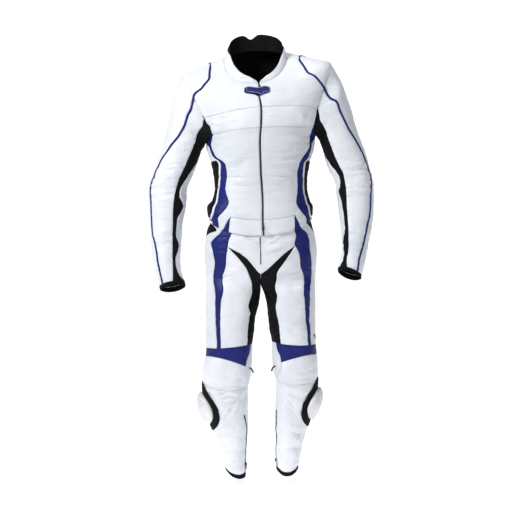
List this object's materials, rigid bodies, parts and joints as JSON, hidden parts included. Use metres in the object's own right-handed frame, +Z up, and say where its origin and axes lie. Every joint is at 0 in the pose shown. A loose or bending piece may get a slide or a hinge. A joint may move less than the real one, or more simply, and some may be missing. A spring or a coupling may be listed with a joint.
{
  "type": "motorcycle race suit",
  "caption": "Two-piece leather motorcycle race suit zipped at the waist, white with blue stripes and black stretch panels, with knee sliders",
  "frame": {"origin": "middle of the neck between the two shoulder-neck points, where the wearer carries the suit", "axes": "+Z up along the body, +X to the wearer's left, the wearer faces -Y"},
  "size_m": [0.7472, 0.2412, 1.4661],
  "materials": {
    "white_leather": "smooth semi-matt cowhide",
    "perforated_leather": "cowhide with rows of small punched holes",
    "blue_leather": "smooth semi-matt dyed cowhide",
    "black_stretch": "matt ribbed stretch cloth",
    "black_binding": "matt woven binding and hook tape",
    "black_lining": "soft matt neoprene",
    "zip_metal": "dark metal zip teeth on black tape",
    "slider_plastic": "scuff-resistant satin"
  },
  "bodies": {
    "root": {"collar": "white_leather", "collar_lining": "black_lining", "fly_panel": "white_leather", "fly_zip": "zip_metal", "front_zip": "zip_metal", "jacket_back": "white_leather", "left_calf_back": "white_leather", "left_calf_zip": "zip_metal", "left_chest_band": "white_leather", "left_cuff": "black_binding", "left_front_panel": "perforated_leather", "left_hem_band": "white_leather", "left_hem_binding": "black_binding", "left_hem_wedge": "blue_leather", "left_inner_stretch": "black_stretch", "left_knee_band": "blue_leather", "left_knee_panel": "white_leather", "left_knee_slider": "slider_plastic", "left_piping": "blue_leather", "left_shin": "white_leather", "left_shoulder_cap": "white_leather", "left_side_panel": "white_leather", "left_side_stretch": "black_stretch", "left_side_stripe": "blue_leather", "left_sleeve_front": "white_leather", "left_sleeve_outer": "white_leather", "left_sleeve_stretch": "black_stretch", "left_slider_pad": "black_binding", "left_thigh_front": "white_leather", "left_thigh_outer": "perforated_leather", "left_thigh_stripe": "blue_leather", "left_yoke": "white_leather", "neck_tab": "blue_leather", "right_calf_back": "white_leather", "right_calf_zip": "zip_metal", "right_chest_band": "white_leather", "right_cuff": "black_binding", "right_front_panel": "perforated_leather", "right_hem_band": "white_leather", "right_hem_binding": "black_binding", "right_hem_wedge": "blue_leather", "right_inner_stretch": "black_stretch", "right_knee_band": "blue_leather", "right_knee_panel": "white_leather", "right_knee_slider": "slider_plastic", "right_piping": "blue_leather", "right_shin": "white_leather", "right_shoulder_cap": "white_leather", "right_side_panel": "white_leather", "right_side_stretch": "black_stretch", "right_side_stripe": "blue_leather", "right_sleeve_front": "white_leather", "right_sleeve_outer": "white_leather", "right_sleeve_stretch": "black_stretch", "right_slider_pad": "black_binding", "right_thigh_front": "white_leather", "right_thigh_outer": "perforated_leather", "right_thigh_stripe": "blue_leather", "right_yoke": "white_leather", "seat_stretch": "black_stretch"}
  },
  "joints": []
}
